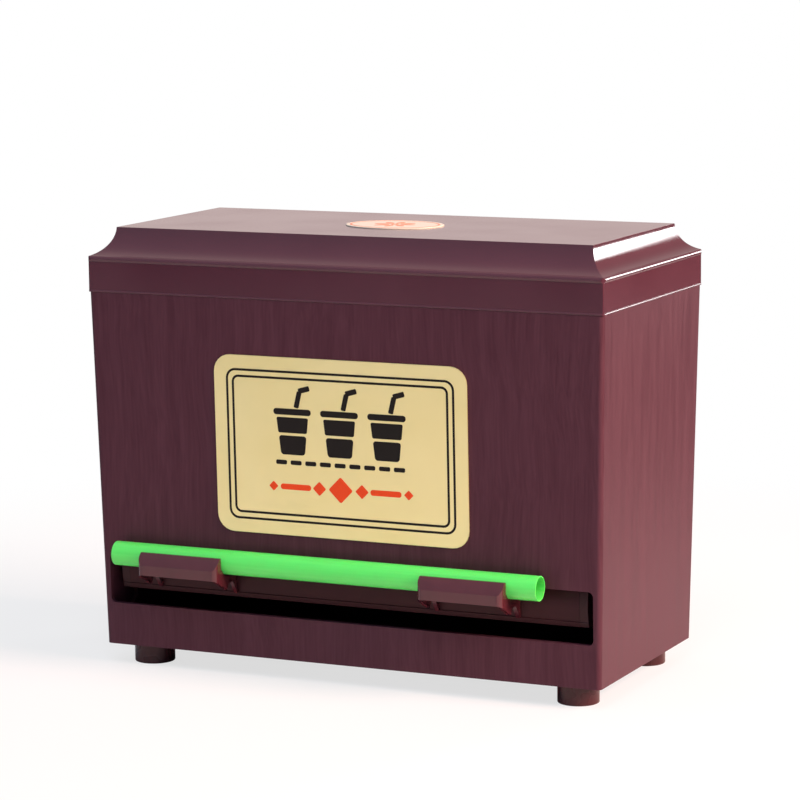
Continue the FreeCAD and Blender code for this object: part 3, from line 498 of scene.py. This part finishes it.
# %% [markdown]
# A modifier is put on, set and applied in one go. When a piece is ready, its smooth and sharp
# edges are told apart by angle. Its large flat faces then pull the shading flat, so that
# a narrow bevel doesn't tint the whole face. Last it gets its finish and its body.

# %% Helpers for finishing
smooth_up_to = 35
full_weight = 100


def apply_modifier(piece, kind, settings):
    take(piece)
    modifier = piece.modifiers.new(kind.lower(), kind)
    for name, value in settings.items():
        setattr(modifier, name, value)
    bpy.ops.object.modifier_apply(modifier=modifier.name)


def finish_piece(piece, body, material, stands_for=()):
    take(piece)
    bpy.ops.object.transform_apply(location=True, rotation=True, scale=True)
    bpy.ops.object.shade_smooth_by_angle(angle=math.radians(smooth_up_to))
    apply_modifier(piece, "WEIGHTED_NORMAL", {"keep_sharp": True, "weight": full_weight})
    piece.data.materials.clear()
    piece.data.materials.append(material)
    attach(piece, body)
    if stands_for:
        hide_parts(*stands_for)
    print(piece.name, len(piece.data.polygons), "faces, on", body)


# %% [markdown]
# ## Softened mouldings
# No moulded edge is truly sharp: the tool leaves a small radius that catches a thin line of
# light. The shape of these pieces is already right, so a copy of each mesh is merged, its flat
# faces are joined again, and every sharp edge gets a narrow bevel of a few tenths of a millimetre.

# %% Helper for softened mouldings
merge_mm = 0.002
flat_up_to = 0.3
sharp_from = 28


def soften(node, name, edge_mm, body, material, segments=2):
    piece = bpy.data.objects.new(name, nodes[node].data.copy())
    bpy.context.collection.objects.link(piece)
    take(piece)
    bpy.ops.object.mode_set(mode="EDIT")
    bpy.ops.mesh.select_all(action="SELECT")
    bpy.ops.mesh.remove_doubles(threshold=merge_mm * MM)
    bpy.ops.mesh.dissolve_limited(angle_limit=math.radians(flat_up_to))
    bpy.ops.object.mode_set(mode="OBJECT")
    apply_modifier(piece, "BEVEL", {
        "width": edge_mm * MM, "segments": segments, "limit_method": "ANGLE",
        "angle_limit": math.radians(sharp_from), "use_clamp_overlap": True,
        "harden_normals": False})
    finish_piece(piece, body, material, (node,))
    return piece


# %% Case, lever, hooks, feet and inside
soften("case_shell", "case_moulding", 0.35, "case", case_plastic)
soften("rocker_bar", "lever_bar", 0.25, "lever", bar_plastic_painted_shade)
for side in ("left", "right"):
    soften(f"{side}_hook", f"{side}_hook_moulding", 0.3, "lever", hook_plastic, 3)
    soften(f"{side}_end_cap", f"{side}_lever_cap", 0.25, "lever", inside_plastic_painted_shade)
    soften(f"{side}_cheek", f"{side}_cheek_moulding", 0.25, "case", inside_plastic_painted_shade)
for corner in ("front_left", "front_right", "back_left", "back_right"):
    soften(f"foot_{corner}", f"turned_foot_{corner}", 0.5, "case", foot_plastic, 3)
soften("hopper_ramp", "ramp_moulding", 0.25, "case", inside_plastic_painted_shade)

# %% [markdown]
# ## Lid
# The lid is one thin moulding: a straight skirt, a small round bead, and a hollow cove that
# rises to the flat top. Its outline is a rectangle at every height, so it can be raised from
# a block ring by ring. The cove is an arc that hangs a little below its own chord, and its
# circle is worked out from the chord and that sag.

# %% Outline of the cove
lid_low, lid_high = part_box("lid")
lid_middle = (lid_low + lid_high) / 2
half_x = (lid_high.x - lid_low.x) / 2 / MM
half_y = (lid_high.y - lid_low.y) / 2 / MM
cove_height = 12.2
cove_sag = 2.2
cove_inset_x = 9.4
cove_inset_y = 11.4
bead_height = 2.6


def cove_out(inset, up):
    run = inset - bead_height / 2
    chord = math.hypot(run, cove_height)
    radius = (chord ** 2 / 4 + cove_sag ** 2) / (2 * cove_sag)
    reach = radius - cove_sag
    middle_out = -(inset + bead_height / 2) / 2 + reach * cove_height / chord
    middle_up = cove_height / 2 + reach * run / chord
    return middle_out - math.sqrt(radius ** 2 - (up - middle_up) ** 2)


print("half sizes in mm:", round(half_x, 2), round(half_y, 2))

# %% [markdown]
# Each ring is how far out it lies along x and along y, and how high above the bead. The rolled
# lower edge comes first, then the skirt, the bead on its own circle, and the cove. The
# rolled edge is what catches the thin bright line above the seam.

# %% Rings of the lid
skirt_height = 16.4
edge_roll = 0.45
edge_reach = 0.75 * edge_roll
edge_steps = 9
bead_reach = 0.5
bead_radius = 1.489
bead_middle = -1.478
bead_start, bead_end = -48.9, 83.1
bead_steps = 8
cove_steps = 14

rings = []
for step in range(1, edge_steps):
    angle = math.radians(-90 + step * 180 / edge_steps)
    out = -bead_reach + edge_reach * math.cos(angle)
    rings.append((out, out, edge_roll * (1 + math.sin(angle)) - skirt_height))
rings.append((-bead_reach, -bead_reach, 2 * edge_roll + 0.05 - skirt_height))
rings.append((-bead_reach, -bead_reach, -bead_height))
for step in range(1, bead_steps + 1):
    angle = math.radians(bead_start + step * (bead_end - bead_start) / bead_steps)
    out = bead_middle + bead_radius * math.cos(angle)
    rings.append((out, out, bead_middle + bead_radius * math.sin(angle)))
for step in range(1, cove_steps + 1):
    up = cove_height * step / cove_steps
    rings.append((cove_out(cove_inset_x, up), cove_out(cove_inset_y, up), up))
print("lid rings:", len(rings))

# %% [markdown]
# A thin block is the start. Its top face is extruded up to each ring in turn and scaled to
# that ring's size, which is how such a stepped outline is pulled up by hand.

# %% Raise the lid from a block
rim = lid_high.z / MM - cove_height
skirt_low = lid_low.z / MM
start_height = 0.08
start_x, start_y = half_x - bead_reach, half_y - bead_reach

bpy.ops.object.select_all(action="DESELECT")
bpy.ops.mesh.primitive_cube_add(size=1, location=(
    lid_middle.x, lid_middle.y, (skirt_low + start_height / 2) * MM))
lid_piece = bpy.context.object
lid_piece.name = "lid_moulding"
lid_piece.scale = Vector((2 * start_x, 2 * start_y, start_height)) * MM
bpy.ops.object.transform_apply(location=True, rotation=False, scale=True)
bpy.ops.object.mode_set(mode="EDIT")
pick(lid_piece, "FACE", lambda face: face.normal.z > 0.9)
now_x, now_y, now_up = start_x, start_y, skirt_low + start_height - rim
for out_x, out_y, up in rings:
    bpy.ops.mesh.extrude_region_move(
        TRANSFORM_OT_translate={"value": (0, 0, (up - now_up) * MM)})
    bpy.ops.transform.resize(
        value=((half_x + out_x) / now_x, (half_y + out_y) / now_y, 1),
        center_override=(lid_middle.x, lid_middle.y, 0))
    now_x, now_y, now_up = half_x + out_x, half_y + out_y, up
bpy.ops.object.mode_set(mode="OBJECT")
print("lid solid:", len(lid_piece.data.vertices), "points")

# %% [markdown]
# The upright corners are round near the skirt, and the cove above stays mitred. A block
# with round corners, kept in common with the lid, gives both at once. Two plain blocks
# cut out of it leave the wall, and a narrow bevel softens the rim, the mitres and the seam.

# %% Blocks for the lid
lid_corner = 2.2
lid_wall = 1.5
top_wall = 2.4
lid_top = lid_high.z / MM
inside_x, inside_y = start_x - lid_wall, start_y - lid_wall
# How far each block sticks out, so that no two faces meet
past_round, past_lower, past_upper = 1, 5, 4


def block(name, size_x, size_y, low, high, corner=0.0):
    bpy.ops.object.select_all(action="DESELECT")
    bpy.ops.mesh.primitive_cube_add(size=1, location=(
        lid_middle.x, lid_middle.y, (low + high) / 2 * MM))
    piece = bpy.context.object
    piece.name = name
    piece.scale = Vector((size_x, size_y, high - low)) * MM
    bpy.ops.object.transform_apply(location=True, rotation=False, scale=True)
    if corner:
        bpy.ops.object.mode_set(mode="EDIT")
        pick(piece, "EDGE", lambda edge: abs((edge.verts[0].co - edge.verts[1].co).z) > MM)
        bpy.ops.mesh.bevel(offset=corner * MM, segments=6, affect="EDGES")
        bpy.ops.object.mode_set(mode="OBJECT")
    return piece


round_block = block("round_block", 2 * half_x, 2 * half_y,
                    skirt_low - past_round, lid_top + past_round, lid_corner)
lower_block = block("lower_block", 2 * inside_x, 2 * inside_y,
                    skirt_low - past_lower, rim - top_wall)
upper_block = block("upper_block", 2 * (half_x - cove_inset_x - top_wall),
                    2 * (half_y - cove_inset_y - top_wall),
                    skirt_low - past_upper, lid_top - top_wall)
print("inside of the lid in mm:", round(2 * inside_x, 1), "by", round(2 * inside_y, 1))

# %% Corners, hollow and edges of the lid
lid_edge_mm = 0.4
lid_sharp_from = 32

for tool, way in ((round_block, "INTERSECT"), (lower_block, "DIFFERENCE"),
                  (upper_block, "DIFFERENCE")):
    apply_modifier(lid_piece, "BOOLEAN", {"operation": way, "object": tool, "solver": "EXACT"})
    bpy.data.objects.remove(tool)
apply_modifier(lid_piece, "BEVEL", {
    "width": lid_edge_mm * MM, "segments": 3, "limit_method": "ANGLE",
    "angle_limit": math.radians(lid_sharp_from), "use_clamp_overlap": True})
finish_piece(lid_piece, "lid", lid_plastic, ("lid",))

# %% [markdown]
# ## Straw
# A straw is a drawn tube cut to length. A cylinder with open ends gets its wall by thickening
# it inwards, and the cut ends lose their sharpness with a very small bevel.

# %% Straw
straw_low, straw_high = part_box("served_straw")
straw_middle = (straw_low + straw_high) / 2
straw_length = straw_high.x - straw_low.x
straw_radius = 5.5
straw_wall = 0.5
cut_edge_mm = 0.12

bpy.ops.object.select_all(action="DESELECT")
bpy.ops.mesh.primitive_cylinder_add(
    vertices=64, radius=straw_radius * MM, depth=straw_length, end_fill_type="NOTHING",
    location=straw_middle, rotation=(0, math.radians(90), 0))
straw = bpy.context.object
straw.name = "green_straw"
bpy.ops.object.transform_apply(location=True, rotation=True, scale=True)
apply_modifier(straw, "SOLIDIFY", {"thickness": straw_wall * MM, "offset": -1.0})
apply_modifier(straw, "BEVEL", {
    "width": cut_edge_mm * MM, "segments": 2, "limit_method": "ANGLE",
    "angle_limit": math.radians(40)})
finish_piece(straw, "straw", straw_plastic, ("served_straw",))

# %% [markdown]
# ## Name plate
# A thin aluminium plate with round corners is glued to the front, which leans out a little
# towards the top. Everything on it is cut from flat shapes: a plane is scaled to its size,
# narrowed at its foot where it tapers, and its corners are rounded.

# %% Helper for flat shapes
def flat_shape(name, x, y, width, height, corner, turn=0.0, foot=1.0):
    bpy.ops.object.select_all(action="DESELECT")
    bpy.ops.mesh.primitive_plane_add(size=1)
    piece = bpy.context.object
    piece.name = name
    piece.scale = (width * MM, height * MM, 1)
    bpy.ops.object.transform_apply(location=False, rotation=False, scale=True)
    bpy.ops.object.mode_set(mode="EDIT")
    pick(piece, "VERT", lambda vert: vert.co.y < 0)
    bpy.ops.transform.resize(value=(foot, 1, 1), center_override=(0, 0, 0))
    if corner:
        bpy.ops.mesh.select_all(action="SELECT")
        bpy.ops.mesh.bevel(offset=corner * MM, offset_type="OFFSET", segments=6, affect="VERTICES")
    bpy.ops.object.mode_set(mode="OBJECT")
    piece.rotation_euler = (0, 0, math.radians(turn))
    piece.location = Vector((x, y, 0)) * MM
    bpy.ops.object.transform_apply(location=True, rotation=True, scale=True)
    return piece


print("helper:", flat_shape.__name__)

# %% [markdown]
# All of it is modelled lying flat, because that is easy to measure, and is then stood up
# against the leaning wall in one turn.

# %% Helpers for standing up
plate_low, plate_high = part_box("front_plate")
wall_run, wall_height = 4.2, 162.8
wall_lean = math.atan2(wall_run, wall_height)
wall_at_plate = -52.45


def join(name, pieces):
    take(pieces[0])
    for piece in pieces:
        piece.select_set(True)
    bpy.ops.object.join()
    joined = bpy.context.object
    joined.name = name
    return joined


def stand_up(piece, lift):
    take(piece)
    piece.location = (0, 0, lift * MM)
    bpy.ops.object.transform_apply(location=True, rotation=True, scale=True)
    piece.rotation_euler = (math.radians(90) + wall_lean, 0, 0)
    piece.location = (0, wall_at_plate * MM, (plate_low.z + plate_high.z) / 2)
    bpy.ops.object.transform_apply(location=True, rotation=True, scale=True)


print("wall leans by", round(math.degrees(wall_lean), 2), "degrees")

# %% [markdown]
# The plate itself is the first such shape. It gets its thickness, and a fine bevel for
# the edge that the press leaves.

# %% Plate
plate_width = 123.0
plate_height = 80.2
plate_corner = 8.0
plate_thickness = 0.7
plate_edge_mm = 0.15

plate = flat_shape("name_plate", 0, 0, plate_width, plate_height, plate_corner)
apply_modifier(plate, "SOLIDIFY", {"thickness": plate_thickness * MM, "offset": 1.0})
apply_modifier(plate, "BEVEL", {
    "width": plate_edge_mm * MM, "segments": 2, "limit_method": "ANGLE",
    "angle_limit": math.radians(50)})
stand_up(plate, 0)
finish_piece(plate, "case", gold_plate, ("front_plate",))

# %% [markdown]
# ## Print on the plate
# The plate is screen printed: a thick, dull film of ink with a slightly rough face from the
# mesh. The mesh is finer than a tenth of a millimetre and is drawn coarser, so that it
# shows. The ink is laid on as thin raised films, so that it is in the shape and not only
# in the colour.

# %% Inks
ink_thickness = 0.06
screen_mm = 0.35
screen_depth_mm = 0.01


def ink(name, codes, roughness):
    material, tree, shader = new_material(name, {
        "Roughness": roughness, "IOR": 1.5, "Specular IOR Level": 0.2})
    place = add_node(tree, "ShaderNodeTexCoord")
    screen = add_node(tree, "ShaderNodeTexNoise", {"Scale": 1 / (screen_mm * MM), "Detail": 2.0},
                      {"Vector": place.outputs["Object"]})
    tint = add_node(tree, "ShaderNodeMix", {
        "data_type": "RGBA", 6: colour(codes[0]), 7: colour(codes[1])},
        {0: screen.outputs["Fac"]})
    tree.links.new(tint.outputs[2], shader.inputs["Base Color"])
    relief = add_node(tree, "ShaderNodeBump", {
        "Strength": 0.2, "Distance": screen_depth_mm * MM}, {"Height": screen.outputs["Fac"]})
    tree.links.new(relief.outputs["Normal"], shader.inputs["Normal"])
    print(name, codes, roughness)
    return material


def print_film(pieces, name, material):
    film = join(name, pieces)
    apply_modifier(film, "SOLIDIFY", {"thickness": ink_thickness * MM, "offset": 1.0})
    stand_up(film, plate_thickness)
    finish_piece(film, "case", material)


black_ink = ink("black_screen_ink", ("#0D0A08", "#14110E"), 0.5)
orange_ink = ink("orange_screen_ink", ("#D23C12", "#DE4C1E"), 0.5)

# %% [markdown]
# A double pin-stripe runs round the plate, as on many small signs. Each stripe starts as
# a whole rounded shape, given by how far in it lies and by its corner. An inset draws its
# inner edge, and the middle is taken out.

# %% Pin-stripes
stripe_width = 1.05
stripe_places = ((6.0, 4.6), (8.9, 3.2))

stripes = []
for number, (inset, corner) in enumerate(stripe_places):
    stripe = flat_shape(f"stripe_{number}", 0, 0, plate_width - 2 * inset,
                        plate_height - 2 * inset, corner)
    bpy.ops.object.mode_set(mode="EDIT")
    bpy.ops.mesh.select_all(action="SELECT")
    bpy.ops.mesh.inset(thickness=stripe_width * MM, depth=0)
    bpy.ops.mesh.delete(type="FACE")
    bpy.ops.object.mode_set(mode="OBJECT")
    stripes.append(stripe)
print_film(stripes, "pin_stripes", black_ink)

# %% [markdown]
# Inside the stripes stand three tumblers with straws over a row of dashes, a plain sign for
# a drinks counter. Each tumbler has a foot, a body, a rim and a bent straw, so it is read
# at a glance. The numbers are the middle, the size and the corner of each shape.

# %% Tumblers with straws
tumbler_spacing = 23.0
dash_spacing = 7.2
dashes = 9

marks = []
for x in (-tumbler_spacing, 0.0, tumbler_spacing):
    marks.append(flat_shape("cup_foot", x, 0.8, 13.6, 8.6, 1.4, 0, 0.86))
    marks.append(flat_shape("cup_body", x, 9.8, 15.6, 7.0, 0.8, 0, 0.9))
    marks.append(flat_shape("cup_rim", x, 15.8, 18.4, 2.8, 1.3))
    marks.append(flat_shape("cup_straw", x + 2.9, 21.4, 2.4, 7.6, 0.6, -14))
    marks.append(flat_shape("cup_bend", x + 6.0, 26.0, 5.6, 2.4, 0.6, 16))
for step in range(dashes):
    marks.append(flat_shape("dash", (step - dashes // 2) * dash_spacing, -7.0, 5.4, 2.0, 0.7))
print_film(marks, "printed_tumblers", black_ink)

# %% [markdown]
# Below them runs a divider in orange: diamonds are squares on their corner, and two bars
# join them.

# %% Orange divider
divider_y = -18.0

marks = [flat_shape("diamond", 0, divider_y, 8.4, 8.4, 0.8, 45)]
for side in (-1, 1):
    marks.append(flat_shape("small_diamond", side * 10.4, divider_y, 4.6, 4.6, 0.5, 45))
    marks.append(flat_shape("bar", side * 22.0, divider_y, 15.0, 2.6, 1.2))
    marks.append(flat_shape("end_diamond", side * 33.0, divider_y, 3.2, 3.2, 0.4, 45))
print_film(marks, "printed_divider", orange_ink)

# %% [markdown]
# ## Oval label on the lid
# A cream paper oval lies on the lid. It is seen at such a low angle that only its colour
# counts from the front. A circle is scaled to the oval and given the paper's thickness.

# %% Label
label_low, label_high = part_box("lid_label")
label_middle = (label_low + label_high) / 2
label_half_x, label_half_y = 23.0, 18.0
label_thickness = 0.4
label_edge_mm = 0.1


def oval(name, x, y, long_half, short_half, turn=0.0):
    bpy.ops.object.select_all(action="DESELECT")
    bpy.ops.mesh.primitive_circle_add(vertices=64, radius=MM, fill_type="NGON")
    piece = bpy.context.object
    piece.name = name
    piece.scale = (long_half, short_half, 1)
    bpy.ops.object.transform_apply(location=False, rotation=False, scale=True)
    piece.rotation_euler = (0, 0, turn)
    piece.location = (x * MM, y * MM, 0)
    bpy.ops.object.transform_apply(location=True, rotation=True, scale=True)
    return piece


label = oval("oval_label", 0, 0, label_half_x, label_half_y)
apply_modifier(label, "SOLIDIFY", {"thickness": label_thickness * MM, "offset": 1.0})
apply_modifier(label, "BEVEL", {
    "width": label_edge_mm * MM, "segments": 2, "limit_method": "ANGLE",
    "angle_limit": math.radians(50)})
label.location = (label_middle.x, label_middle.y, label_low.z)
finish_piece(label, "lid", label_paper, ("lid_label",))

# %% [markdown]
# From above the label has a pattern: a thin ring and a plain rosette of eight petals round
# a heart, in one peach ink.

# %% Ring and rosette
ring_gap = 1.8
ring_width = 0.9
petals_round = 8
petal_reach = 6.4
label_ink_thickness = 0.05

peach_ink = ink("peach_screen_ink", ("#D9825F", "#E08F6C"), 0.4)
ring = oval("ring", 0, 0, label_half_x - ring_gap, label_half_y - ring_gap)
bpy.ops.object.mode_set(mode="EDIT")
bpy.ops.mesh.select_all(action="SELECT")
bpy.ops.mesh.inset(thickness=ring_width * MM, depth=0)
bpy.ops.mesh.delete(type="FACE")
bpy.ops.object.mode_set(mode="OBJECT")
petals = [ring, oval("heart", 0, 0, 1.8, 1.8)]
for step in range(petals_round):
    turn = step * 2 * math.pi / petals_round
    petals.append(oval("petal", petal_reach * math.cos(turn), petal_reach * math.sin(turn),
                       3.6, 1.6, turn))
rosette = join("label_print", petals)
apply_modifier(rosette, "SOLIDIFY", {"thickness": label_ink_thickness * MM, "offset": 1.0})
rosette.location = (label_middle.x, label_middle.y, label_high.z)
finish_piece(rosette, "lid", peach_ink)

# %% [markdown]
# ## Metal and bushes
# The screws, pins, bushes and the weight already have the right shape, small and mostly
# hidden, so they stay as they are and only get their finish.

# %% Finishes for the nodes that stay
finishes = {
    plated_steel: ("foot_screws", "hook_screws", "left_axle_pin", "right_axle_pin",
                   "counterweight"),
    bush_plastic: ("left_bush", "right_bush"),
}
for material, names in finishes.items():
    for name in names:
        nodes[name].data.materials.clear()
        nodes[name].data.materials.append(material)
    print(material.name, "on", names)
